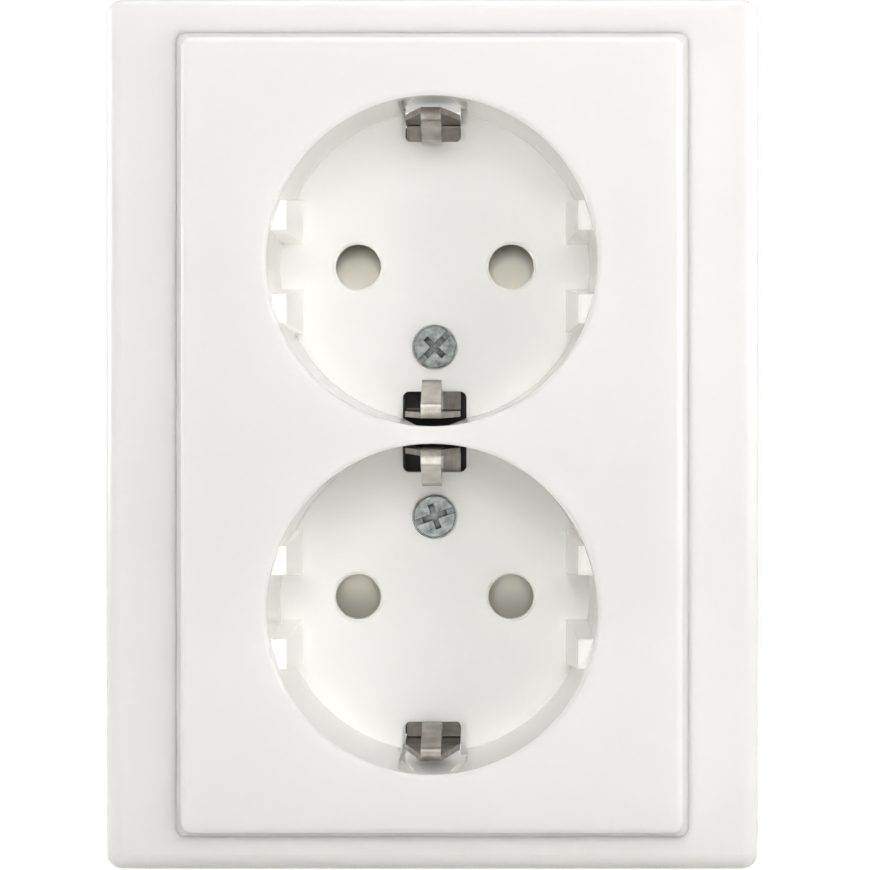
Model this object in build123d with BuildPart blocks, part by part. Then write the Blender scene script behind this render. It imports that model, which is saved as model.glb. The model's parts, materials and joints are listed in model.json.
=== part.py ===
# Double socket outlet for one flush box: a white frame and centre plate in front of the wall,
# a dark insert with shutters, contacts and terminals behind it.
# Millimetres. The wall is the plane y = 0, the front faces -Y, +X is right and +Z is up.
# Heights are measured forward of the wall, so a height h lies at y = -h.

import math
import os

from build123d import *

os.makedirs("parts", exist_ok=True)

# Plug wells
well_diameter = 39.0
well_web = 2.0
well_depth = 17.5
well_draft = 1.0
well_wall = 1.5
rim_round = 0.55
floor_thickness = 1.7
pin_spacing = 19.0
pin_hole_diameter = 5.6
pin_hole_lead = 0.35
plug_pin_diameter = 4.8
guide_inset = 3.2
guide_half_height = 8.3
guide_gap = 5.6
guide_drop = 3.0
guide_draft = 4.0
guide_root = 1.1

# Centre plate
plate_side_border = 10.9
plate_end_border = 7.7
plate_corner = 1.3
plate_edge_round = 0.8
plate_slope = 20.0
plate_wall = 1.6
plate_face = 2.0
skirt_depth = 3.5
plate_lap = 0.6
lap_gap = 0.05
plate_clearance = 0.25
rib_thickness = 1.2

# Outer frame
frame_side_margin = 4.9
frame_end_border = 5.15
frame_drop = 3.0
frame_draft = 3.2
frame_edge_round = 2.0
frame_wall = 1.6
frame_skin = 2.0
collar_wall = 1.3
ledge_width = 2.0
ledge_thickness = 1.5
frame_rib_pitch = 30.0
frame_rib_depth = 9.0

# Earth clips and their windows in the wells
clip_sheet = 0.7
clip_bend = 0.25
clip_width = 6.8
clip_shift = -0.2
clip_inset = 1.6
clip_stand_drop = 5.2
clip_taper_drop = 15.2
tongue_width = 2.4
fold_drop = 4.2
fold_bend = 0.9
outer_tongue = [(2.5, 4.4), (4.4, 10.5), (4.7, 12.0), (3.4, 15.4)]
inner_tongue = [(2.6, 4.4), (5.2, 10.5), (5.5, 12.0), (4.1, 15.4)]
window_width = 7.9
window_step = 0.9
window_foot_clearance = 0.05
window_inset = 4.0
window_corner = 0.8
window_top_width = 3.7
window_top_drop = 2.2
hood_depth = 0.1
hood_corner_width = 8.2
hood_corner_depth = 0.9
pocket_wall = 1.4
pocket_foot = 0.4
middle_wall = 1.2
strap_notch_width = 2.0
strap_dent = (1.6, 1.2)
strap_dent_depth = 0.45

# Fasteners
screw_offset = 10.0
screw_diameter = 2.9
screw_head_diameter = 5.2
screw_head_height = 1.2
screw_head_round = 0.2
screw_head_clearance = 0.2
screw_head_edge = 0.4
screw_seat_drop = 1.1
screw_hole_diameter = 3.4
screw_length = 7.8
screw_turns = (45.0, 19.0)
slot_width = 0.8
slot_depth = 0.45
cross_length = 3.2
cross_width = 0.75
cross_depth = 0.95
nut_size = 5.5
nut_thickness = 1.8
thread_clearance = 0.05
rivet_diameter = 3.0
rivet_head_diameter = 5.0
rivet_head_height = 1.0
rivet_clearance = 0.05
earth_rivet_margin = 6.0
rivet_head_edge = 0.4

# Support plate
support_side_edge = 1.5
support_end_edge = 3.0
support_corner = 5.0
support_sheet = 1.2
box_screw_spacing = 60.0
box_slot_width = 4.2
box_slot_length = 7.0

# Insert behind the wall
insert_width = 44.0
insert_end_wall = 1.9
insert_corner_wall = 0.93
insert_clearance = 0.3
deck_flange = 2.6
deck_lip = 1.6
deck_floor = 1.5
bed_arm = 1.6
bed_gap = 0.1
ear_stand = 2.8
ear_height = 11.0
ear_radius = 3.4
base_floor = 4.4
base_round = 1.2
base_screw_inset = 5.0
base_screw_grip = 4.0

# Shutters and springs
slide_clearance = 0.3
stop_clearance = 0.4
shutter_depth = 6.7
shutter_arm = 6.6
shutter_lap = 0.8
pin_pass_clearance = 0.6
ramp_flat = 0.8
ramp_drop = 4.6
boss_half_width = 5.0
boss_reach = 2.8
spring_bore = 3.2
spring_pocket = 3.0
spring_radius = 1.2
spring_wire = 0.36
spring_turns = 6.0
spring_wire_sides = 6
spring_stud = 1.5

# Contacts and terminals
contact_sheet = 0.8
jaw_gap = 4.2
jaw_heel = 5.0
jaw_flare = 6.2
jaw_length = 11.0
jaw_lead = 3.2
jaw_width = 6.0
jaw_front_gap = 0.8
chamber_clearance = 0.6
terminal_offset = 7.0
terminal_width = 7.0
terminal_inset = 4.0
terminal_height = 11.0
terminal_clearance = 0.7
terminal_screw_diameter = 3.0
terminal_head_diameter = 5.6
terminal_head_height = 2.2
terminal_screw_tail = 1.2
terminal_slot = 0.9
clamp_thickness = 1.2
wire_hole_diameter = 3.2
wire_pitch = 4.0

# Places that follow from the sizes above
well_pitch = well_diameter + well_web
pin_z = well_pitch / 2
floor_back = support_sheet + deck_flange
floor_front = floor_back + floor_thickness
face_height = floor_front + well_depth
frame_front = face_height - frame_drop
seat_height = frame_front - skirt_depth
plate_back = face_height - plate_face
well_mouth_radius = well_diameter / 2
well_outer_radius = well_mouth_radius + well_wall
guide_reach = well_mouth_radius - guide_inset
plate_width = well_diameter + 2 * plate_side_border
plate_height = well_pitch + well_diameter + 2 * plate_end_border
well_centres = [(0, pin_z), (0, -pin_z)]
pin_points = [(x, z) for x in (-pin_spacing / 2, pin_spacing / 2) for z in (-pin_z, pin_z)]
screw_z = pin_z - screw_offset
screw_seat = floor_front - screw_seat_drop
base_screw_points = [(0, screw_z - base_screw_inset), (0, base_screw_inset - screw_z)]
window_opening = (plate_width - 2 * plate_lap, plate_height - 2 * plate_lap)
skirt_size = (window_opening[0] - 2 * plate_clearance, window_opening[1] - 2 * plate_clearance)

clip_stand = well_mouth_radius - clip_inset
stand_out = clip_stand + clip_sheet
stand_top = face_height - clip_stand_drop
fold_height = face_height - fold_drop
strap_front = support_sheet + clip_sheet
window_reach = well_mouth_radius - window_inset
window_top = face_height - window_top_drop
window_foot_width = clip_width + 2 * window_foot_clearance
hood_back = well_mouth_radius + hood_depth
hood_corner = well_mouth_radius + hood_corner_depth
pocket_back = hood_corner + pocket_wall
inner_pocket = pin_z - middle_wall / 2

shutter_front = floor_back - slide_clearance
shutter_back = shutter_front - shutter_depth
chamber_floor = shutter_back - slide_clearance
deck_back = chamber_floor - deck_floor
arm_out = pin_z + pin_hole_diameter / 2 + shutter_lap
arm_in = pin_z - pin_hole_diameter / 2 - shutter_lap
shutter_travel = arm_out - pin_z + plug_pin_diameter / 2 + pin_pass_clearance
boss_end = screw_z + boss_reach
bridge_in = boss_end + stop_clearance + shutter_travel
bridge_front = support_sheet - slide_clearance
spring_height = (shutter_back + bridge_front) / 2
spring_end = bridge_in + spring_pocket
arm_centre = pin_spacing / 2
chamber_half = arm_centre + shutter_arm / 2 + slide_clearance

jaw_side = arm_centre + jaw_flare / 2 + contact_sheet + chamber_clearance
jaw_end = pin_z + jaw_width / 2 + chamber_clearance
insert_height = 2 * (jaw_end + insert_end_wall)
insert_radius = math.hypot(jaw_side, jaw_end) + insert_corner_wall
ear_offset = insert_width / 2 + ear_stand
earth_rivet_offset = insert_height / 2 + earth_rivet_margin
support_width = box_screw_spacing + box_slot_length + 2 * support_side_edge
support_height = 2 * (earth_rivet_offset + support_end_edge)
bed_start = support_height / 2 + slide_clearance
bed_end = pin_z + clip_stand - slide_clearance
bed_slot = clip_width + 2 * slide_clearance
frame_width = support_width + 2 * frame_side_margin
frame_height = plate_height + 2 * frame_end_border

strip_front = deck_back - jaw_front_gap - jaw_length
strip_back = strip_front - contact_sheet
base_back = strip_back - base_floor
terminal_reach = insert_width / 2 - terminal_inset
terminal_centre = strip_front + terminal_height / 2
terminal_point = (-terminal_centre, terminal_offset)
clamp_face = terminal_reach + clamp_thickness
terminal_tip = terminal_reach - support_sheet - terminal_screw_tail
recess_height = terminal_width + 2 * terminal_clearance


def insert_outline(grow):
    Circle(insert_radius + grow)
    Rectangle(insert_width + 2 * grow, insert_height + 2 * grow, mode=Mode.INTERSECT)


# Outer frame: a drafted shell that stands on the wall, with a collar and a ledge for the plate
with BuildPart() as outer_frame:
    with BuildSketch(Plane.XZ):
        Rectangle(frame_width, frame_height)
    extrude(amount=frame_front, taper=frame_draft)
    front_edges = outer_frame.faces().sort_by(Axis.Y)[0].edges()
    corner_edges = outer_frame.edges().filter_by(lambda edge: edge.bounding_box().size.Y > frame_front / 2)
    fillet(front_edges + corner_edges, frame_edge_round)
    with BuildSketch(Plane.XZ):
        Rectangle(frame_width - 2 * frame_wall, frame_height - 2 * frame_wall)
    extrude(amount=frame_front - frame_skin, taper=frame_draft, mode=Mode.SUBTRACT)
    with BuildSketch(Plane.XZ.offset(seat_height - ledge_thickness)):
        Rectangle(window_opening[0] + 2 * collar_wall, window_opening[1] + 2 * collar_wall)
    extrude(amount=skirt_depth + ledge_thickness - frame_skin / 2)
    rib_inner = window_opening[0] / 2 + collar_wall / 2
    rib_outer = frame_width / 2 - frame_front * math.tan(math.radians(frame_draft)) - frame_wall / 2
    with BuildSketch(Plane.XZ.offset(frame_front - frame_skin / 2)):
        with GridLocations(rib_inner + rib_outer, frame_rib_pitch, 2, 3):
            Rectangle(rib_outer - rib_inner, rib_thickness)
    extrude(amount=-frame_rib_depth)
    with BuildSketch(Plane.XZ):
        Rectangle(window_opening[0] - 2 * ledge_width, window_opening[1] - 2 * ledge_width)
    extrude(amount=face_height, mode=Mode.SUBTRACT)
    with BuildSketch(Plane.XZ.offset(seat_height)):
        RectangleRounded(*window_opening, plate_corner + plate_clearance)
    extrude(amount=face_height, mode=Mode.SUBTRACT)

# Centre plate: a raised face with sloping sides that laps the frame, and a skirt inside its collar
with BuildPart() as plate_shell:
    with BuildSketch(Plane.XZ.offset(frame_front + lap_gap)):
        Rectangle(plate_width, plate_height)
    extrude(amount=frame_drop - lap_gap, taper=plate_slope)
    with BuildSketch(Plane.XZ.offset(seat_height)):
        Rectangle(*skirt_size)
    extrude(amount=skirt_depth + lap_gap)
    corner_edges = plate_shell.edges().filter_by(lambda edge: edge.bounding_box().size.Y > frame_drop / 2)
    fillet(corner_edges, plate_corner)
    fillet(plate_shell.faces().sort_by(Axis.Y)[0].edges(), plate_edge_round)
    with BuildSketch(Plane.XZ.offset(seat_height)):
        Rectangle(skirt_size[0] - 2 * plate_wall, skirt_size[1] - 2 * plate_wall)
    extrude(amount=plate_back - seat_height, mode=Mode.SUBTRACT)
    with BuildSketch(Plane.XZ.offset(plate_back)):
        with Locations((0, 0), *well_centres):
            Rectangle(skirt_size[0] - plate_wall, rib_thickness)
        with Locations(*well_centres):
            Circle(well_outer_radius, mode=Mode.SUBTRACT)
    extrude(amount=-(plate_back - seat_height) / 2)
    with BuildSketch(Plane.XZ.offset(face_height)):
        with Locations(*well_centres):
            Circle(well_mouth_radius)
    extrude(amount=-plate_face, taper=well_draft, mode=Mode.SUBTRACT)
    fillet(plate_shell.faces().sort_by(Axis.Y)[0].inner_wires().edges(), rim_round)

# Well: a drafted cup behind the face with guide pads, pin holes, the screw seat and the clips' windows
with BuildPart() as well_upper:
    with BuildSketch(Plane.XZ.offset(floor_back)):
        with Locations((0, pin_z)):
            Circle(well_outer_radius)
        with Locations((0, plate_height / 2)):
            Rectangle(plate_width, plate_height, mode=Mode.INTERSECT)
    extrude(amount=plate_back - floor_back)
    with BuildSketch(Plane.XZ.offset(pocket_foot)):
        with Locations((0, pin_z + (clip_stand + pocket_back) / 2)):
            Rectangle(hood_corner_width + 2 * pocket_wall, pocket_back - clip_stand)
    extrude(amount=plate_back - pocket_foot)
    with BuildSketch(Plane.XZ.offset(face_height)):
        with Locations((0, pin_z)):
            Circle(well_mouth_radius)
    extrude(amount=-well_depth, taper=well_draft, mode=Mode.SUBTRACT)
    with BuildSketch(Plane.XZ.offset(floor_front)):
        with Locations((0, pin_z)):
            Circle(well_mouth_radius + guide_root)
            Rectangle(2 * guide_reach, well_diameter + 4 * well_wall, mode=Mode.SUBTRACT)
            Rectangle(well_diameter + 4 * well_wall, guide_gap, mode=Mode.SUBTRACT)
            Rectangle(well_diameter + 4 * well_wall, 2 * guide_half_height, mode=Mode.INTERSECT)
    extrude(amount=well_depth - guide_drop, taper=guide_draft)
    with BuildSketch(Plane.XZ.offset(floor_back)):
        with Locations((0, pin_z)):
            with GridLocations(pin_spacing, 0, 2, 1):
                Circle(pin_hole_diameter / 2)
    extrude(amount=floor_thickness, mode=Mode.SUBTRACT)
    lead_edges = well_upper.edges().filter_by(GeomType.CIRCLE)
    lead_edges = lead_edges.filter_by(lambda edge: abs(edge.radius - pin_hole_diameter / 2) < 0.01)
    chamfer(lead_edges.group_by(Axis.Y)[0], pin_hole_lead)
    with BuildSketch(Plane.XZ.offset(floor_front)):
        with Locations((0, screw_z)):
            Circle(screw_hole_diameter / 2)
    extrude(amount=-floor_thickness, mode=Mode.SUBTRACT)
    with BuildSketch(Plane.XZ.offset(screw_seat)):
        with Locations((0, screw_z)):
            Circle(screw_head_diameter / 2 + screw_head_clearance)
    extrude(amount=screw_seat_drop, mode=Mode.SUBTRACT)
    outer_window = (1, hood_back, window_foot_width, clip_shift)
    inner_window = (-1, inner_pocket, window_width, 0)
    for reach, depth, foot_width, foot_shift in (outer_window, inner_window):
        near_edge = pin_z + reach * window_reach
        far_edge = pin_z + reach * depth
        with BuildSketch(Plane.XZ.offset(floor_front)) as floor_window:
            with Locations((0, (near_edge + far_edge) / 2)):
                Rectangle(window_width, abs(far_edge - near_edge))
            near_corners = floor_window.vertices().sort_by(lambda corner: abs(corner.Y - near_edge))
            fillet(near_corners[:2], window_corner)
        extrude(amount=-window_step, mode=Mode.SUBTRACT)
        with BuildSketch(Plane.XZ.offset(floor_front)) as window_foot:
            with Locations((foot_shift, (near_edge + far_edge) / 2)):
                Rectangle(foot_width, abs(far_edge - near_edge))
            near_corners = window_foot.vertices().sort_by(lambda corner: abs(corner.Y - near_edge))
            fillet(near_corners[:2], window_corner)
        extrude(amount=-(floor_front - pocket_foot), mode=Mode.SUBTRACT)
        with BuildSketch(Plane.XY.offset(near_edge)):
            Polygon(
                (-window_width / 2, -floor_front),
                (window_width / 2, -floor_front),
                (window_top_width / 2, -window_top),
                (-window_top_width / 2, -window_top),
                align=None,
            )
        extrude(amount=far_edge - near_edge, mode=Mode.SUBTRACT)
    with BuildSketch(Plane.XY.offset(pin_z + window_reach)):
        for hand in (1, -1):
            Polygon(
                (hand * window_width / 2, -floor_front),
                (hand * hood_corner_width / 2, -floor_front),
                (hand * hood_corner_width / 2, -window_top),
                (hand * window_top_width / 2, -window_top),
                align=None,
            )
    extrude(amount=hood_corner - window_reach, mode=Mode.SUBTRACT)

with BuildPart() as well_lower:
    mirror(well_upper.part, about=Plane.XY)

centre_plate = Compound(plate_shell.solids() + well_upper.solids() + well_lower.solids())

# Cover screws: flush heads with a slot across a cross recess, each left at its own angle
with BuildPart() as cover_screws:
    for place in (screw_z, -screw_z):
        with BuildSketch(Plane.XZ.offset(screw_seat)):
            with Locations((0, place)):
                Circle(screw_head_diameter / 2)
        extrude(amount=screw_head_height)
        with BuildSketch(Plane.XZ.offset(screw_seat)):
            with Locations((0, place)):
                Circle(screw_diameter / 2)
        extrude(amount=-screw_length)
    head_edges = cover_screws.faces().group_by(Axis.Y)[0].edges()
    fillet(head_edges, screw_head_round)
    for place, turn in zip((screw_z, -screw_z), screw_turns):
        head_top = Plane.XZ.offset(screw_seat + screw_head_height)
        with BuildSketch(head_top):
            with Locations(Location((0, place), turn)):
                Rectangle(2 * screw_head_diameter, slot_width)
        extrude(amount=-slot_depth, mode=Mode.SUBTRACT)
        with BuildSketch(head_top):
            with Locations(Location((0, place), turn), Location((0, place), turn + 90)):
                Rectangle(cross_length, cross_width)
        extrude(amount=-cross_depth, mode=Mode.SUBTRACT)

# Square nuts in the deck, under the earth straps
with BuildPart() as cover_nuts:
    with BuildSketch(Plane.XZ.offset(support_sheet)):
        with Locations((0, screw_z), (0, -screw_z)):
            Rectangle(nut_size, nut_size)
            Circle(screw_diameter / 2 + thread_clearance, mode=Mode.SUBTRACT)
    extrude(amount=-nut_thickness)

# Shutter: two ramped arms behind the pin holes, and a bridge below the earth strap with the spring bore
with BuildPart() as shutter_upper:
    with BuildSketch(Plane.YZ.offset(arm_centre - shutter_arm / 2)):
        Polygon(
            (-shutter_back, arm_in),
            (-shutter_front, arm_in),
            (-shutter_front, arm_in + ramp_flat),
            (-(shutter_front - ramp_drop), arm_out),
            (-shutter_back, arm_out),
            align=None,
        )
    extrude(amount=shutter_arm)
    mirror(about=Plane.YZ)
    with BuildSketch(Plane.XZ.offset(shutter_back)):
        with Locations((0, (bridge_in + arm_out) / 2)):
            Rectangle(2 * arm_centre - shutter_arm, arm_out - bridge_in)
    extrude(amount=bridge_front - shutter_back)
    with BuildSketch(Plane.XY.offset(bridge_in)):
        with Locations((0, -spring_height)):
            Circle(spring_bore / 2)
    extrude(amount=spring_pocket, mode=Mode.SUBTRACT)

with BuildPart() as shutter_lower:
    mirror(shutter_upper.part, about=Plane.XY)

# Return spring: from the stud on the deck's boss to the bottom of the bore in the bridge,
# with its fine wire drawn six-sided
with BuildPart() as shutter_spring_upper:
    spring_foot = boss_end + spring_wire / 2
    spring_span = spring_end - boss_end - spring_wire
    with BuildLine():
        spring_centre = (0, -spring_height, spring_foot)
        coil = Helix(spring_span / spring_turns, spring_span, spring_radius, center=spring_centre)
    with BuildSketch(Plane(origin=coil @ 0, z_dir=coil % 0)):
        RegularPolygon(spring_wire / 2, spring_wire_sides)
    sweep(path=coil)

with BuildPart() as shutter_spring_lower:
    mirror(shutter_spring_upper.part, about=Plane.XY)

# Shutter deck: a flange on the support plate, a block through it with the shutter chambers,
# and arms beside the earth straps that carry a bed under each strap's end
with BuildPart() as shutter_deck:
    with BuildSketch(Plane.XZ.offset(deck_back)):
        insert_outline(0)
    extrude(amount=support_sheet - deck_back)
    with BuildSketch(Plane.XZ.offset(support_sheet)):
        insert_outline(deck_lip)
        with GridLocations(2 * ear_offset, 2 * ear_height, 2, 2):
            Circle(ear_radius)
    extrude(amount=deck_flange)
    with BuildSketch(Plane.XZ.offset(chamber_floor)):
        chamber_in = arm_in - shutter_travel - stop_clearance
        chamber_out = arm_out + slide_clearance
        with GridLocations(0, chamber_in + chamber_out, 1, 2):
            Rectangle(2 * chamber_half, chamber_out - chamber_in)
        Rectangle(2 * boss_half_width, 2 * boss_end, mode=Mode.SUBTRACT)
    extrude(amount=floor_back - chamber_floor, mode=Mode.SUBTRACT)
    with BuildSketch(Plane.XZ.offset(support_sheet)):
        Rectangle(bed_slot, insert_height + 4 * deck_lip)
        Rectangle(window_width, 2 * (pin_z - inner_pocket), mode=Mode.SUBTRACT)
    extrude(amount=deck_flange, mode=Mode.SUBTRACT)
    with BuildSketch(Plane.XZ.offset(support_sheet)):
        with GridLocations(bed_slot + bed_arm, insert_height / 2 + bed_end, 2, 2):
            Rectangle(bed_arm, bed_end - insert_height / 2)
    extrude(amount=deck_flange - slide_clearance)
    with BuildSketch(Plane.XZ):
        with GridLocations(bed_slot + bed_arm, bed_start + bed_end, 2, 2):
            Rectangle(bed_arm, bed_end - bed_start)
    extrude(amount=support_sheet)
    with BuildSketch(Plane.XZ):
        with GridLocations(0, bed_start + bed_end, 1, 2):
            Rectangle(bed_slot + bed_arm, bed_end - bed_start)
    extrude(amount=support_sheet - bed_gap)
    with BuildSketch(Plane.XZ.offset(support_sheet - nut_thickness)):
        with Locations((0, screw_z), (0, -screw_z)):
            Rectangle(nut_size + slide_clearance, nut_size + slide_clearance)
    extrude(amount=nut_thickness, mode=Mode.SUBTRACT)
    with BuildSketch(Plane.XZ.offset(screw_seat)):
        with Locations((0, screw_z), (0, -screw_z)):
            Circle(screw_hole_diameter / 2)
    extrude(amount=-(screw_length + stop_clearance), mode=Mode.SUBTRACT)
    with BuildSketch(Plane.XY.offset(boss_end)):
        with Locations((0, -spring_height)):
            Circle(spring_stud / 2)
    extrude(amount=spring_pocket - stop_clearance)
    with BuildSketch(Plane.XY.offset(-boss_end)):
        with Locations((0, -spring_height)):
            Circle(spring_stud / 2)
    extrude(amount=-(spring_pocket - stop_clearance))
    with BuildSketch(Plane.XZ.offset(deck_back)):
        with Locations(*pin_points):
            Circle(pin_hole_diameter / 2 + slide_clearance)
    extrude(amount=deck_floor, mode=Mode.SUBTRACT)
    with BuildSketch(Plane.XZ.offset(deck_back)):
        with Locations(*base_screw_points):
            Circle(screw_diameter / 2 + thread_clearance)
    extrude(amount=base_screw_grip + stop_clearance, mode=Mode.SUBTRACT)
    with BuildSketch(Plane.XZ.offset(floor_back)):
        with GridLocations(2 * ear_offset, 2 * ear_height, 2, 2):
            Circle(rivet_diameter / 2 + rivet_clearance)
    extrude(amount=-deck_flange, mode=Mode.SUBTRACT)
    with BuildSketch(Plane.XZ.offset(deck_back)):
        with Locations((-insert_width / 2, -terminal_offset)):
            Rectangle(2 * (insert_width / 2 - terminal_reach + support_sheet + terminal_clearance),
                      terminal_width + 2 * terminal_clearance)
    extrude(amount=support_sheet - deck_back, mode=Mode.SUBTRACT)

# Support plate: steel sheet on the wall with slots for the box screws, and the earth terminal's bent tab
with BuildPart() as support_plate:
    with BuildSketch(Plane.XZ):
        RectangleRounded(support_width, support_height, support_corner)
        with BuildSketch(mode=Mode.SUBTRACT):
            insert_outline(insert_clearance)
        with GridLocations(box_screw_spacing, 0, 2, 1):
            SlotOverall(box_slot_length, box_slot_width, mode=Mode.SUBTRACT)
        with GridLocations(2 * ear_offset, 2 * ear_height, 2, 2):
            Circle(rivet_diameter / 2 + rivet_clearance, mode=Mode.SUBTRACT)
        with GridLocations(0, 2 * earth_rivet_offset, 1, 2):
            Circle(rivet_diameter / 2 + rivet_clearance, mode=Mode.SUBTRACT)
    extrude(amount=support_sheet)
    with BuildSketch(Plane.XY.offset(-terminal_offset - terminal_width / 2)):
        with BuildLine():
            FilletPolyline(
                (-insert_width / 2 - support_sheet, -support_sheet),
                (-terminal_reach + support_sheet, -support_sheet),
                (-terminal_reach + support_sheet, -strip_front),
                radius=2 * support_sheet,
            )
            offset(amount=support_sheet, side=Side.LEFT)
        make_face()
    extrude(amount=terminal_width)
    with BuildSketch(Plane.YZ.offset(-terminal_reach)):
        with Locations((-terminal_centre, -terminal_offset)):
            Circle(terminal_screw_diameter / 2 + thread_clearance)
    extrude(amount=2 * support_sheet, both=True, mode=Mode.SUBTRACT)

# Earth bracket: a strap behind the well whose ends stand up as wide blades,
# each folded over to a sprung tongue
with BuildPart() as earth_bracket_upper:
    with BuildSketch(Plane.YZ.offset(clip_shift)):
        with BuildLine():
            FilletPolyline(
                (-support_sheet, pin_z),
                (-support_sheet, pin_z + stand_out),
                (-stand_top, pin_z + stand_out),
                radius=clip_bend + clip_sheet,
            )
            offset(amount=clip_sheet, side=Side.LEFT)
        make_face()
    extrude(amount=clip_width / 2, both=True)
    with BuildSketch(Plane.XY.offset(pin_z + clip_stand - clip_sheet)):
        with Locations((clip_shift, 0)):
            for side in (1, -1):
                Polygon(
                    (side * tongue_width / 2, -stand_top),
                    (side * clip_width, -stand_top),
                    (side * clip_width, -(face_height - clip_taper_drop)),
                    (side * clip_width / 2, -(face_height - clip_taper_drop)),
                    align=None,
                )
    extrude(amount=3 * clip_sheet, mode=Mode.SUBTRACT)
    mirror(about=Plane.XY.offset(pin_z))
    for reach, bends, inside in ((1, outer_tongue, Side.RIGHT), (-1, inner_tongue, Side.LEFT)):
        with BuildSketch(Plane.YZ.offset(clip_shift)):
            with BuildLine():
                bend_points = [
                    (drop - face_height, pin_z + reach * (well_mouth_radius - inset)) for inset, drop in bends
                ]
                FilletPolyline(
                    (clip_taper_drop - face_height, pin_z + reach * stand_out),
                    (-fold_height, pin_z + reach * stand_out),
                    *bend_points,
                    radius=fold_bend,
                )
                offset(amount=clip_sheet, side=inside)
            make_face()
        extrude(amount=tongue_width / 2, both=True)
    with BuildSketch(Plane.XZ.offset(support_sheet)):
        with Locations((0, screw_z)):
            Circle(screw_hole_diameter / 2)
        with Locations((0, earth_rivet_offset)):
            Circle(rivet_diameter / 2 + rivet_clearance)
        with Locations((clip_shift - clip_width / 2, pin_z - window_reach)):
            Rectangle(2 * strap_notch_width, 2 * (clip_stand - window_reach))
    extrude(amount=clip_sheet, mode=Mode.SUBTRACT)
    with BuildSketch(Plane.XZ.offset(strap_front)):
        dent_centre = clip_shift + (tongue_width + clip_width) / 4
        with Locations((dent_centre, pin_z + window_reach + strap_dent[1])):
            Rectangle(*strap_dent)
    extrude(amount=-strap_dent_depth, mode=Mode.SUBTRACT)

with BuildPart() as earth_bracket_lower:
    mirror(earth_bracket_upper.part, about=Plane.XY)

# Rivets: the earth brackets' are flush at the wall, the deck's have a second head behind the plate
with BuildPart() as earth_rivets:
    with BuildSketch(Plane.XZ):
        with GridLocations(0, 2 * earth_rivet_offset, 1, 2):
            Circle(rivet_diameter / 2)
    extrude(amount=strap_front)
    with BuildSketch(Plane.XZ.offset(strap_front)):
        with GridLocations(0, 2 * earth_rivet_offset, 1, 2):
            Circle(rivet_head_diameter / 2)
    extrude(amount=rivet_head_height)
    chamfer(earth_rivets.faces().group_by(Axis.Y)[0].edges(), rivet_head_edge)

with BuildPart() as base_rivets:
    with BuildSketch(Plane.XZ):
        with GridLocations(2 * ear_offset, 2 * ear_height, 2, 2):
            Circle(rivet_diameter / 2)
    extrude(amount=floor_back)
    with BuildSketch(Plane.XZ):
        with GridLocations(2 * ear_offset, 2 * ear_height, 2, 2):
            Circle(rivet_head_diameter / 2)
    extrude(amount=-rivet_head_height)
    with BuildSketch(Plane.XZ.offset(floor_back)):
        with GridLocations(2 * ear_offset, 2 * ear_height, 2, 2):
            Circle(rivet_head_diameter / 2)
    extrude(amount=rivet_head_height)

# Contact strip: two sprung pin jaws on one strip, and an arm to the bent terminal plate
with BuildPart() as neutral_contact:
    jaw_top = deck_back - jaw_front_gap
    for place in (pin_z, -pin_z):
        with BuildSketch(Plane.XY.offset(place - jaw_width / 2)):
            with BuildLine():
                FilletPolyline(
                    (arm_centre - jaw_flare / 2, -jaw_top),
                    (arm_centre - jaw_gap / 2, -(jaw_top - jaw_lead)),
                    (arm_centre - jaw_heel / 2, -strip_front),
                    (arm_centre + jaw_heel / 2, -strip_front),
                    (arm_centre + jaw_gap / 2, -(jaw_top - jaw_lead)),
                    (arm_centre + jaw_flare / 2, -jaw_top),
                    radius=contact_sheet / 2,
                )
                offset(amount=contact_sheet, side=Side.LEFT)
            make_face()
        extrude(amount=jaw_width)
    with BuildSketch(Plane.XZ.offset(strip_front)):
        with Locations((arm_centre, 0)):
            Rectangle(jaw_heel, 2 * pin_z)
    extrude(amount=-contact_sheet)
    with BuildSketch(Plane.XY.offset(terminal_offset - terminal_width / 2)):
        with BuildLine():
            FilletPolyline(
                (arm_centre, -strip_front),
                (terminal_reach - contact_sheet, -strip_front),
                (terminal_reach - contact_sheet, -(strip_front + terminal_height)),
                radius=contact_sheet,
            )
            offset(amount=contact_sheet, side=Side.LEFT)
        make_face()
    extrude(amount=terminal_width)
    with BuildSketch(Plane.YZ.offset(terminal_reach)):
        with Locations(terminal_point):
            Circle(terminal_screw_diameter / 2 + thread_clearance)
    extrude(amount=-2 * contact_sheet, mode=Mode.SUBTRACT)

with BuildPart() as line_contact:
    mirror(neutral_contact.part, about=Plane.YZ)

# Wire clamp and screw of a terminal: a square plate held by a slotted screw
with BuildPart() as neutral_clamp_plate:
    with BuildSketch(Plane.YZ.offset(terminal_reach)):
        with Locations(terminal_point):
            RectangleRounded(terminal_width, terminal_width, clamp_thickness)
            Circle(screw_hole_diameter / 2, mode=Mode.SUBTRACT)
    extrude(amount=clamp_thickness)

with BuildPart() as neutral_terminal_screw:
    with BuildSketch(Plane.YZ.offset(clamp_face)):
        with Locations(terminal_point):
            Circle(terminal_head_diameter / 2)
    extrude(amount=terminal_head_height)
    chamfer(neutral_terminal_screw.faces().sort_by(Axis.X)[-1].edges(), screw_head_edge)
    with BuildSketch(Plane.YZ.offset(terminal_tip)):
        with Locations(terminal_point):
            Circle(terminal_screw_diameter / 2)
    extrude(amount=clamp_face - terminal_tip)
    with BuildSketch(Plane.YZ.offset(clamp_face + terminal_head_height)):
        with Locations(terminal_point):
            Rectangle(terminal_slot, 2 * terminal_head_diameter)
    extrude(amount=-terminal_head_height / 2, mode=Mode.SUBTRACT)

with BuildPart() as line_clamp_plate:
    mirror(neutral_clamp_plate.part, about=Plane.YZ)

with BuildPart() as line_terminal_screw:
    mirror(neutral_terminal_screw.part, about=Plane.YZ)

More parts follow.
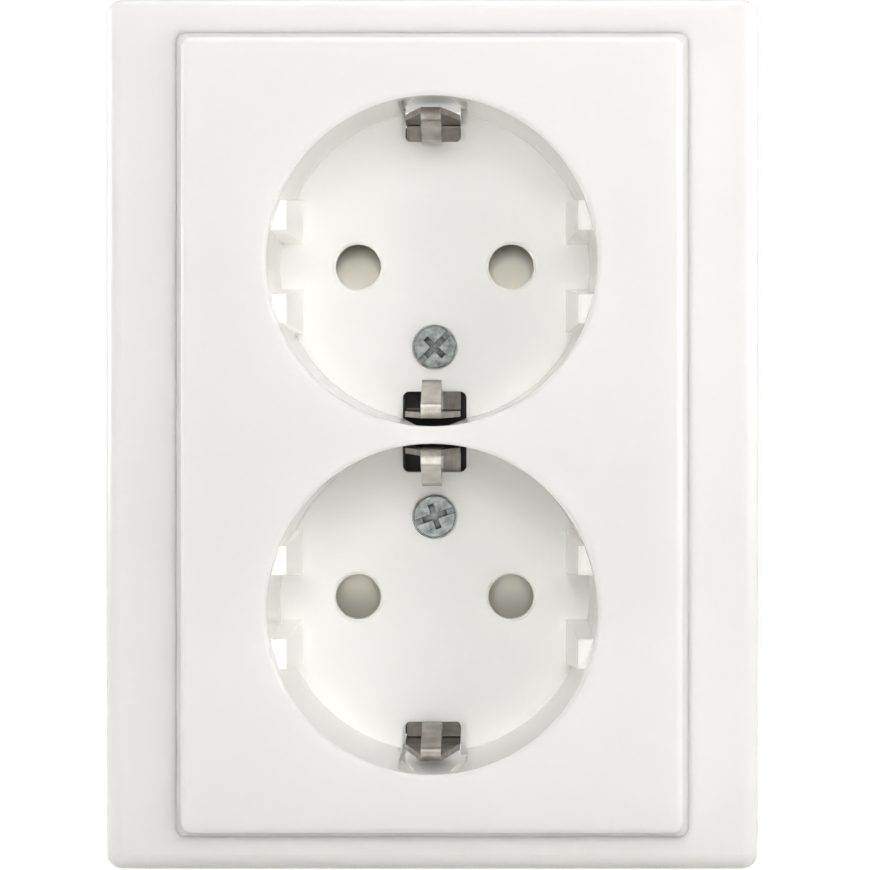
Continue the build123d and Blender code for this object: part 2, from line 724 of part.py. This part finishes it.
with BuildPart() as earth_clamp_plate:
    mirror(line_clamp_plate.part, about=Plane.XY)

with BuildPart() as earth_terminal_screw:
    mirror(line_terminal_screw.part, about=Plane.XY)

# Base: a flat-sided block in the flush box with the contact chambers, terminal recesses and wire holes
with BuildPart() as base:
    with BuildSketch(Plane.XZ.offset(base_back)):
        insert_outline(0)
    extrude(amount=deck_back - base_back)
    fillet(base.faces().sort_by(Axis.Y)[-1].edges(), base_round)
    with BuildSketch(Plane.XZ.offset(strip_back)):
        with GridLocations(2 * arm_centre, 0, 2, 1):
            Rectangle(jaw_flare + 2 * contact_sheet + 2 * chamber_clearance,
                      2 * pin_z + jaw_width + 2 * chamber_clearance)
        with GridLocations(insert_width, 0, 2, 1):
            with Locations((0, terminal_offset)):
                Rectangle(insert_width - 2 * arm_centre, recess_height)
        with Locations((-insert_width / 2, -terminal_offset)):
            Rectangle(insert_width - 2 * (terminal_tip - stop_clearance), recess_height)
    extrude(amount=deck_back - strip_back, mode=Mode.SUBTRACT)
    with BuildSketch(Plane.XZ.offset(base_back)):
        for side, place in ((1, terminal_offset), (-1, terminal_offset), (-1, -terminal_offset)):
            with Locations((side * (terminal_reach + wire_hole_diameter / 2), place)):
                with GridLocations(0, wire_pitch, 1, 2):
                    Circle(wire_hole_diameter / 2)
        with Locations(*base_screw_points):
            Circle(screw_hole_diameter / 2)
    extrude(amount=deck_back - base_back, mode=Mode.SUBTRACT)
    with BuildSketch(Plane.XZ.offset(base_back)):
        with Locations(*base_screw_points):
            Circle(screw_head_diameter / 2 + slide_clearance)
    extrude(amount=screw_head_height, mode=Mode.SUBTRACT)

# Screws from behind that draw the base against the deck
with BuildPart() as base_screws:
    with BuildSketch(Plane.XZ.offset(base_back)):
        with Locations(*base_screw_points):
            Circle(screw_head_diameter / 2)
    extrude(amount=screw_head_height)
    chamfer(base_screws.faces().sort_by(Axis.Y)[-2:].edges(), screw_head_edge)
    with BuildSketch(Plane.XZ.offset(base_back)):
        with Locations(*base_screw_points):
            Circle(screw_diameter / 2)
    extrude(amount=deck_back + base_screw_grip - base_back)
    with BuildSketch(Plane.XZ.offset(base_back)):
        for centre in base_screw_points:
            with Locations(centre):
                Rectangle(cross_length, cross_width)
                Rectangle(cross_width, cross_length)
    extrude(amount=cross_depth, mode=Mode.SUBTRACT)

pieces = {
    "outer_frame": outer_frame.part,
    "centre_plate": centre_plate,
    "cover_screws": cover_screws.part,
    "cover_nuts": cover_nuts.part,
    "shutter_upper": shutter_upper.part,
    "shutter_lower": shutter_lower.part,
    "shutter_spring_upper": shutter_spring_upper.part,
    "shutter_spring_lower": shutter_spring_lower.part,
    "shutter_deck": shutter_deck.part,
    "base": base.part,
    "base_screws": base_screws.part,
    "base_rivets": base_rivets.part,
    "support_plate": support_plate.part,
    "earth_bracket_upper": earth_bracket_upper.part,
    "earth_bracket_lower": earth_bracket_lower.part,
    "earth_rivets": earth_rivets.part,
    "line_contact": line_contact.part,
    "neutral_contact": neutral_contact.part,
    "line_clamp_plate": line_clamp_plate.part,
    "neutral_clamp_plate": neutral_clamp_plate.part,
    "earth_clamp_plate": earth_clamp_plate.part,
    "line_terminal_screw": line_terminal_screw.part,
    "neutral_terminal_screw": neutral_terminal_screw.part,
    "earth_terminal_screw": earth_terminal_screw.part,
}
for name, piece in pieces.items():
    piece.label = name
    export_step(piece, f"parts/{name}.step")
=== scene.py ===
import json
import math
import bpy
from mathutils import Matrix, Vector

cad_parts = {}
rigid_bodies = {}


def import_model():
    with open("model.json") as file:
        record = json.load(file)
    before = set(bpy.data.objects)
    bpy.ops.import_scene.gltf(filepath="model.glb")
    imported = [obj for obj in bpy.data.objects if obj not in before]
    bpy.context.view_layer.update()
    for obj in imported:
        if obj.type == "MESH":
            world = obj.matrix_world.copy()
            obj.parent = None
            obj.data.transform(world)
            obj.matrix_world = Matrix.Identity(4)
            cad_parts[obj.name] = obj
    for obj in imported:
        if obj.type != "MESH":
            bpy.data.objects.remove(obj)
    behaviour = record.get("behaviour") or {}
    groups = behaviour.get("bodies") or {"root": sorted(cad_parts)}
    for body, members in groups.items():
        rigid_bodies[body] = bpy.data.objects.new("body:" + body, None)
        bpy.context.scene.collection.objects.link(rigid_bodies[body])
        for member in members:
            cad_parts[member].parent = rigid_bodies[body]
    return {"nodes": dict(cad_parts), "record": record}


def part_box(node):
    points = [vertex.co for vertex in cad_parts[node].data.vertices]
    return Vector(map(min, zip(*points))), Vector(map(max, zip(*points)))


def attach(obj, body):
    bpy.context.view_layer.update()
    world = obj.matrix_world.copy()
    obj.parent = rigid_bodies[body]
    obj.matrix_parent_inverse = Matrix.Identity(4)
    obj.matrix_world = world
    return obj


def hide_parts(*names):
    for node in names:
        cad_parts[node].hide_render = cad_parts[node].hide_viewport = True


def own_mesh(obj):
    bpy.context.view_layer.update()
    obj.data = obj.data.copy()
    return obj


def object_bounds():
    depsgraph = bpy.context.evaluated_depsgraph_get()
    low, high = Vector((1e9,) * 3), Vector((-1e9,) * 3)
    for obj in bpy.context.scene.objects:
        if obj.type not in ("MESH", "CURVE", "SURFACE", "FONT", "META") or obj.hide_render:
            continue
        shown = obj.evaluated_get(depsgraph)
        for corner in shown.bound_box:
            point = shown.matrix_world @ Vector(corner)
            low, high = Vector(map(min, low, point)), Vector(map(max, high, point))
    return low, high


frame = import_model()
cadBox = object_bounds()
nodes = frame["nodes"]
mm = 0.001
print("frame loaded with", len(nodes), "nodes")


# sRGB hex to the linear colour that the shaders work in
def linear(hexColour, alpha=1.0):
    parts = [int(hexColour[i:i + 2], 16) / 255 for i in (1, 3, 5)]
    return [p / 12.92 if p <= 0.04045 else ((p + 0.055) / 1.055) ** 2.4 for p in parts] + [alpha]


# noise scales are counted per metre of the object's own coordinates
def perMetre(sizeMm):
    return 1 / (sizeMm * mm)


# one node with its settings and its incoming links; inputs go by name or number, the rest are attributes
def addNode(tree, kind, settings=None, links=None):
    node = tree.nodes.new(kind)
    for key, value in (settings or {}).items():
        if isinstance(key, int) or key in node.inputs:
            node.inputs[key].default_value = value
        else:
            setattr(node, key, value)
    for key, source in (links or {}).items():
        tree.links.new(source, node.inputs[key])
    return node


def newMaterial(name):
    material = bpy.data.materials.new(name)
    material.use_nodes = True
    material.node_tree.nodes.clear()
    return material, material.node_tree


# White ABS, injection-moulded in a polished mould:
# an even soft gloss with hardly a cloud in it, the slow waves of a wall that shrank as it cooled,
# and light that bleeds through the edges, so that inside corners and pads stay soft
whitePlastic = {
    "light": "#faf9f6",
    "shade": "#f9f8f5",
    "cloudMm": 30,
    "cloudDetail": 1.0,
    "glossCloudMm": 12,
    "waveMm": 9,
    "waveHeightMm": 0.002,
    "waveStrength": 0.5,
    "roughness": (0.12, 0.15),
    "ior": 1.53,
    "bleedMm": 4.0,
    "bleedShare": 1.0,
    "bleedTint": (1.0, 1.0, 1.0),
}


def whiteAbs():
    s = whitePlastic
    material, tree = newMaterial("mouldedWhiteAbs")
    place = addNode(tree, "ShaderNodeTexCoord").outputs["Object"]
    cloud = addNode(tree, "ShaderNodeTexNoise",
                    {"Scale": perMetre(s["cloudMm"]), "Detail": s["cloudDetail"]}, {"Vector": place})
    colour = addNode(tree, "ShaderNodeValToRGB", links={"Fac": cloud.outputs["Fac"]})
    colour.color_ramp.elements[0].color = linear(s["shade"])
    colour.color_ramp.elements[1].color = linear(s["light"])
    gloss = addNode(tree, "ShaderNodeTexNoise",
                    {"Scale": perMetre(s["glossCloudMm"]), "Detail": s["cloudDetail"]}, {"Vector": place})
    rough = addNode(tree, "ShaderNodeMapRange",
                    {"To Min": s["roughness"][0], "To Max": s["roughness"][1]},
                    {"Value": gloss.outputs["Fac"]})
    wave = addNode(tree, "ShaderNodeTexNoise",
                   {"Scale": perMetre(s["waveMm"]), "Detail": 0.0}, {"Vector": place})
    bump = addNode(tree, "ShaderNodeBump",
                   {"Strength": s["waveStrength"], "Distance": s["waveHeightMm"] * mm},
                   {"Height": wave.outputs["Fac"]})
    shader = addNode(tree, "ShaderNodeBsdfPrincipled",
                     {"IOR": s["ior"], "subsurface_method": "BURLEY", "Subsurface Weight": s["bleedShare"],
                      "Subsurface Radius": s["bleedTint"], "Subsurface Scale": s["bleedMm"] * mm},
                     {"Base Color": colour.outputs["Color"], "Roughness": rough.outputs["Result"],
                      "Normal": bump.outputs["Normal"]})
    addNode(tree, "ShaderNodeOutputMaterial", links={"Surface": shader.outputs["BSDF"]})
    return material


# Acetal shutters, moulded in natural ivory: a waxy half gloss with slight flow clouds
ivoryAcetal = {
    "light": "#fbf8ec",
    "shade": "#f8f4e5",
    "flowMm": 4.0,
    "flowDetail": 4.0,
    "grainMm": 0.25,
    "grainDetail": 3.0,
    "grainHeightMm": 0.008,
    "grainStrength": 0.4,
    "roughness": (0.34, 0.46),
    "ior": 1.48,
}

# Filled phenolic of the insert, pressed: dark, matt, with filler specks
darkPhenolic = {
    "light": "#35312e",
    "shade": "#262321",
    "flowMm": 1.2,
    "flowDetail": 4.0,
    "grainMm": 0.3,
    "grainDetail": 3.0,
    "grainHeightMm": 0.015,
    "grainStrength": 0.4,
    "roughness": (0.42, 0.58),
    "ior": 1.55,
}


def mouldedCompound(name, s):
    material, tree = newMaterial(name)
    place = addNode(tree, "ShaderNodeTexCoord").outputs["Object"]
    flow = addNode(tree, "ShaderNodeTexNoise",
                   {"Scale": perMetre(s["flowMm"]), "Detail": s["flowDetail"]}, {"Vector": place})
    colour = addNode(tree, "ShaderNodeValToRGB", links={"Fac": flow.outputs["Fac"]})
    colour.color_ramp.elements[0].color = linear(s["shade"])
    colour.color_ramp.elements[1].color = linear(s["light"])
    grain = addNode(tree, "ShaderNodeTexNoise",
                    {"Scale": perMetre(s["grainMm"]), "Detail": s["grainDetail"]}, {"Vector": place})
    rough = addNode(tree, "ShaderNodeMapRange",
                    {"To Min": s["roughness"][0], "To Max": s["roughness"][1]},
                    {"Value": grain.outputs["Fac"]})
    bump = addNode(tree, "ShaderNodeBump",
                   {"Strength": s["grainStrength"], "Distance": s["grainHeightMm"] * mm},
                   {"Height": grain.outputs["Fac"]})
    shader = addNode(tree, "ShaderNodeBsdfPrincipled", {"IOR": s["ior"]},
                     {"Base Color": colour.outputs["Color"], "Roughness": rough.outputs["Result"],
                      "Normal": bump.outputs["Normal"]})
    addNode(tree, "ShaderNodeOutputMaterial", links={"Surface": shader.outputs["BSDF"]})
    return material


# Nickel-plated spring strip: rolled, so fine streaks run along the strap, with soft grey tarnish;
# the tongues in the middle are lighter, partly from wear by plugs and partly as a painted highlight, and the
# outer ones less, which is painted light
springStrip = {
    "light": "#b0aba4",
    "shade": "#7d7872",
    # these six settings paint the tongue band lighter: partly plug wear, partly a painted highlight, more on
    # the inner tongues than the outer ones as painted light
    "wornLight": "#e6e2dc",
    "wornShade": "#c2bdb6",
    "wornHalfMm": 1.22,
    "wornMiddleMm": -0.2,
    "wornReachMm": (22, 32),
    "wornShare": (1.0, 0.1),
    "streakMm": (0.09, 0.09, 2.5),
    "tarnishMm": 2.2,
    "streakHeightMm": 0.004,
    "roughness": (0.24, 0.42),
}

# Zinc-plated and passivated screws: cool grey, blotchy, with a slight blue cast, and painted shade darkening
# the recesses
zincScrew = {
    "light": "#b9bfbd",
    "shade": "#666d6c",
    # these four settings paint shade into the screw recesses
    "grimeMm": 0.7,
    "grimeOpen": (0.35, 0.95),
    "grimeTone": (0.22, 1.0),
    "grimeRays": 8,
    "streakMm": (0.35, 0.35, 0.35),
    "tarnishMm": 1.1,
    "streakHeightMm": 0.01,
    "roughness": (0.26, 0.46),
}

# Electro-galvanised steel sheet of the support plate and clamps: pale and frosty, rolled along its width
zincSheet = {
    "light": "#c9cbc8",
    "shade": "#a7aaa8",
    "streakMm": (3.0, 0.12, 0.12),
    "tarnishMm": 5.0,
    "streakHeightMm": 0.004,
    "roughness": (0.3, 0.48),
}

# Rolled brass contact strip: warm yellow, drawn along its length, a little brown with age
brassStrip = {
    "light": "#d9b96a",
    "shade": "#a8843f",
    "streakMm": (0.1, 0.1, 2.5),
    "tarnishMm": 3.0,
    "streakHeightMm": 0.004,
    "roughness": (0.22, 0.4),
}

# What the metals have in common: tarnish clouds first, streaks over them, both as colour and as slight relief
metalSkin = {
    "streakDetail": 3.0,
    "streakShare": 0.45,
    "streakStrength": 0.3,
    "tarnishDetail": 4.0,
    "toneRange": (0.45, 1.0),
}

mixColours = {"first": 6, "second": 7, "result": 2}  # the colour sockets of a Mix node


# brighter metal in a band up the middle of the strip, where the tongues are: partly wear from plugs, partly a
# painted highlight; most on the inner tongues, less on the outer ones, which is painted light
def wornAndLitTongue(tree, s, place, tone, dull):
    bright = addNode(tree, "ShaderNodeValToRGB", links={"Fac": tone})
    bright.color_ramp.elements[0].color = linear(s["wornShade"])
    bright.color_ramp.elements[1].color = linear(s["wornLight"])
    axes = addNode(tree, "ShaderNodeSeparateXYZ", links={"Vector": place})
    aside = addNode(tree, "ShaderNodeMath", {"operation": "SUBTRACT", 1: s["wornMiddleMm"] * mm},
                    {0: axes.outputs["X"]})
    reach = addNode(tree, "ShaderNodeMath", {"operation": "ABSOLUTE"}, {0: aside.outputs["Value"]})
    band = addNode(tree, "ShaderNodeMath", {"operation": "LESS_THAN", 1: s["wornHalfMm"] * mm},
                   {0: reach.outputs["Value"]})
    height = addNode(tree, "ShaderNodeMath", {"operation": "ABSOLUTE"}, {0: axes.outputs["Z"]})
    rubbedAndLit = addNode(tree, "ShaderNodeMapRange",
                     {"From Min": s["wornReachMm"][0] * mm, "From Max": s["wornReachMm"][1] * mm,
                      "To Min": s["wornShare"][0], "To Max": s["wornShare"][1]},
                     {"Value": height.outputs["Value"]})
    share = addNode(tree, "ShaderNodeMath", {"operation": "MULTIPLY"},
                    {0: band.outputs["Value"], 1: rubbedAndLit.outputs["Result"]})
    mixed = addNode(tree, "ShaderNodeMix", {"data_type": "RGBA"},
                    {"Factor": share.outputs["Value"], mixColours["first"]: dull,
                     mixColours["second"]: bright.outputs["Color"]})
    return mixed.outputs[mixColours["result"]]


# painted shade: the colour is darkened in corners and recesses, as far as ambient occlusion finds them
def paintedRecessShade(tree, s, unshaded):
    corner = addNode(tree, "ShaderNodeAmbientOcclusion",
                     {"Distance": s["grimeMm"] * mm, "samples": s["grimeRays"], "only_local": True})
    depth = addNode(tree, "ShaderNodeMapRange",
                    {"From Min": s["grimeOpen"][0], "From Max": s["grimeOpen"][1],
                     "To Min": s["grimeTone"][0], "To Max": s["grimeTone"][1]},
                    {"Value": corner.outputs["AO"]})
    darkened = addNode(tree, "ShaderNodeVectorMath", {"operation": "SCALE"},
                    {0: unshaded, "Scale": depth.outputs["Result"]})
    return darkened.outputs["Vector"]


def platedMetal(name, s):
    skin = metalSkin
    material, tree = newMaterial(name)
    place = addNode(tree, "ShaderNodeTexCoord").outputs["Object"]
    stretch = addNode(tree, "ShaderNodeMapping", {"Scale": [perMetre(size) for size in s["streakMm"]]},
                      {"Vector": place})
    streak = addNode(tree, "ShaderNodeTexNoise", {"Scale": 1.0, "Detail": skin["streakDetail"]},
                     {"Vector": stretch.outputs["Vector"]})
    tarnish = addNode(tree, "ShaderNodeTexNoise",
                      {"Scale": perMetre(s["tarnishMm"]), "Detail": skin["tarnishDetail"]}, {"Vector": place})
    both = addNode(tree, "ShaderNodeMath", {"operation": "MULTIPLY_ADD", 1: skin["streakShare"]},
                   {0: streak.outputs["Fac"], 2: tarnish.outputs["Fac"]})
    tone = addNode(tree, "ShaderNodeMapRange",
                   {"From Min": skin["toneRange"][0], "From Max": skin["toneRange"][1]},
                   {"Value": both.outputs["Value"]}).outputs["Result"]
    colour = addNode(tree, "ShaderNodeValToRGB", links={"Fac": tone})
    colour.color_ramp.elements[0].color = linear(s["shade"])
    colour.color_ramp.elements[1].color = linear(s["light"])
    finish = colour.outputs["Color"]
    # lighter tongue band: partly wear, partly a painted highlight
    if "wornLight" in s:
        finish = wornAndLitTongue(tree, s, place, tone, finish)
    # painted shade in the recesses
    if "grimeMm" in s:
        finish = paintedRecessShade(tree, s, finish)
    rough = addNode(tree, "ShaderNodeMapRange",
                    {"To Min": s["roughness"][1], "To Max": s["roughness"][0]},
                    {"Value": tarnish.outputs["Fac"]})
    bump = addNode(tree, "ShaderNodeBump",
                   {"Strength": skin["streakStrength"], "Distance": s["streakHeightMm"] * mm},
                   {"Height": streak.outputs["Fac"]})
    shader = addNode(tree, "ShaderNodeBsdfPrincipled", {"Metallic": 1.0},
                     {"Base Color": finish, "Roughness": rough.outputs["Result"],
                      "Normal": bump.outputs["Normal"]})
    addNode(tree, "ShaderNodeOutputMaterial", links={"Surface": shader.outputs["BSDF"]})
    return material


finishes = {
    "white_plastic": whiteAbs(),
    "ivory_plastic": mouldedCompound("mouldedIvoryAcetal", ivoryAcetal),
    "dark_plastic": mouldedCompound("mouldedDarkPhenolic", darkPhenolic),
    "plated_spring": platedMetal("rolledNickelSpringStrip", springStrip),
    "plated_steel": platedMetal("zincPlatedScrewSteel", zincScrew),
    "contact_brass": platedMetal("rolledBrassStrip", brassStrip),
}
sheetFinish = platedMetal("galvanisedSteelSheet", zincSheet)
sheetNodes = ("support_plate", "line_clamp_plate", "neutral_clamp_plate", "earth_clamp_plate")
for part in frame["record"]["subparts"]:
    mesh = nodes[part["node"]].data
    mesh.materials.clear()
    mesh.materials.append(sheetFinish if part["node"] in sheetNodes else finishes[part["material_slot"]])
print("finishes given to", len(nodes), "nodes")

# Coil springs behind the shutters: a copy of each is hung on the parent body of its joint, in place of the
# original, and keeps its shape
coilSprings = {
    "slot": "plated_spring",
    "along": (0, 0, 1),
    "nameEnd": "_coil",
}


def shorteningCoil(joint, held):
    s = coilSprings
    coil = bpy.data.objects.new(held["node"] + s["nameEnd"], nodes[held["node"]].data.copy())
    bpy.context.scene.collection.objects.link(coil)
    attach(coil, joint["parent"])
    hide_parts(held["node"])
    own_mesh(coil)


slides = frame["record"]["behaviour"]["joints"]
for joint in slides:
    for held in joint["deforming_nodes"]:
        shorteningCoil(joint, held)
print("springs follow", len(slides), "shutters")

# The camera stands a little above and to the right of the middle, square to the wall
cameraView = {
    "distanceMm": 308.0,
    "rightMm": 6.585,
    "upMm": 7.508,
    "focalPx": 2621.4,
    "principalPx": (487.67, 371.35),
    "imagePx": 870,
    "sensorMm": 36.0,
    "clipStartMm": 10.0,
    "tiltDeg": 90.0,
}


def placeCamera():
    s = cameraView
    middlePx = s["imagePx"] / 2
    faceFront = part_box("centre_plate")[0].y
    data = bpy.data.cameras.new("photoCamera")
    data.sensor_width = s["sensorMm"]
    data.lens = s["focalPx"] * s["sensorMm"] / s["imagePx"]
    data.shift_x = (middlePx - s["principalPx"][0]) / s["imagePx"]
    data.shift_y = (s["principalPx"][1] - middlePx) / s["imagePx"]
    data.clip_start = s["clipStartMm"] * mm
    camera = bpy.data.objects.new("photoCamera", data)
    camera.location = (s["rightMm"] * mm, faceFront - s["distanceMm"] * mm, s["upMm"] * mm)
    camera.rotation_euler = (math.radians(s["tiltDeg"]), 0, 0)
    bpy.context.scene.collection.objects.link(camera)
    bpy.context.scene.camera = camera


placeCamera()
print("camera placed")

# Studio: white where the camera and gloss look past the object, and soft round lamps that light it;
# lamp directions are from the middle of the wall face, powers in watts, sizes and distances in metres
studio = {
    "backdrop": "#ffffff",
    "lamps": {
        "frontLamp": {"from": (0.0, -0.966, 0.259), "power": 0.58, "size": 0.18, "distance": 0.35},
        "keyLamp": {"from": (0.801, -0.574, 0.17), "power": 0.38, "size": 0.25, "distance": 0.4},
        "topLamp": {"from": (0.0, -0.574, 0.819), "power": 0.14, "size": 0.25, "distance": 0.4},
        "topEdgeLamp": {"from": (0.0, 0.139, 0.99), "power": 0.42, "size": 0.25, "distance": 0.4},
        "leftEdgeLamp": {"from": (-0.945, 0.208, 0.253), "power": 3.9, "size": 0.6, "distance": 0.8},
        "rightEdgeLamp": {"from": (0.945, 0.208, 0.253), "power": 2.3, "size": 0.6, "distance": 0.8},
    },
    "noMirrorImage": ("frontLamp",),  # flat metal would throw this lamp straight back at the camera
    "floorReach": (-1.0, 0.22),
    "floorWidth": 1.6,
    "floorColour": "#c4c2bf",
    "floorGlow": 0.88,
}


# 1 where the camera, gloss or glass looks, 0 for the light that falls on the object
def seenBy(tree):
    path = addNode(tree, "ShaderNodeLightPath")
    first = addNode(tree, "ShaderNodeMath", {"operation": "MAXIMUM"},
                    {0: path.outputs["Is Camera Ray"], 1: path.outputs["Is Glossy Ray"]})
    return addNode(tree, "ShaderNodeMath", {"operation": "MAXIMUM"},
                   {0: first.outputs["Value"], 1: path.outputs["Is Transmission Ray"]}).outputs["Value"]


def whiteBackdrop():
    world = bpy.data.worlds.new("paleStudio")
    world.use_nodes = True
    tree = world.node_tree
    tree.nodes.clear()
    white = addNode(tree, "ShaderNodeBackground", {"Color": linear(studio["backdrop"])},
                    {"Strength": seenBy(tree)})
    addNode(tree, "ShaderNodeOutputWorld", links={"Surface": white.outputs["Background"]})
    bpy.context.scene.world = world


def hangLamp(name, s):
    lamp = bpy.data.lights.new(name, "AREA")
    lamp.shape = "DISK"
    lamp.size = s["size"]
    lamp.energy = s["power"]
    holder = bpy.data.objects.new(name, lamp)
    away = Vector(s["from"]).normalized()
    holder.location = away * s["distance"]
    holder.rotation_euler = away.to_track_quat("Z", "Y").to_euler()
    holder.visible_glossy = name not in studio["noMirrorImage"]
    bpy.context.scene.collection.objects.link(holder)


def layFloor():
    s = studio
    near, far = s["floorReach"]
    half = s["floorWidth"] / 2
    level = cadBox[0].z
    mesh = bpy.data.meshes.new("paleFloor")
    mesh.from_pydata([(-half, near, level), (half, near, level), (half, far, level), (-half, far, level)],
                     [], [(0, 1, 2, 3)])
    floor = bpy.data.objects.new("paleFloor", mesh)
    bpy.context.scene.collection.objects.link(floor)
    material, tree = newMaterial("paleStudioFloor")
    glow = addNode(tree, "ShaderNodeMath", {"operation": "MULTIPLY", 1: s["floorGlow"]}, {0: seenBy(tree)})
    matt = addNode(tree, "ShaderNodeBsdfDiffuse", {"Color": linear(s["floorColour"])})
    lift = addNode(tree, "ShaderNodeEmission", links={"Strength": glow.outputs["Value"]})
    total = addNode(tree, "ShaderNodeAddShader", links={0: matt.outputs["BSDF"], 1: lift.outputs["Emission"]})
    addNode(tree, "ShaderNodeOutputMaterial", links={"Surface": total.outputs["Shader"]})
    mesh.materials.append(material)


bpy.context.scene.view_settings.view_transform = "Standard"
whiteBackdrop()
for lampName, lampSettings in studio["lamps"].items():
    hangLamp(lampName, lampSettings)
layFloor()
print("studio lit")
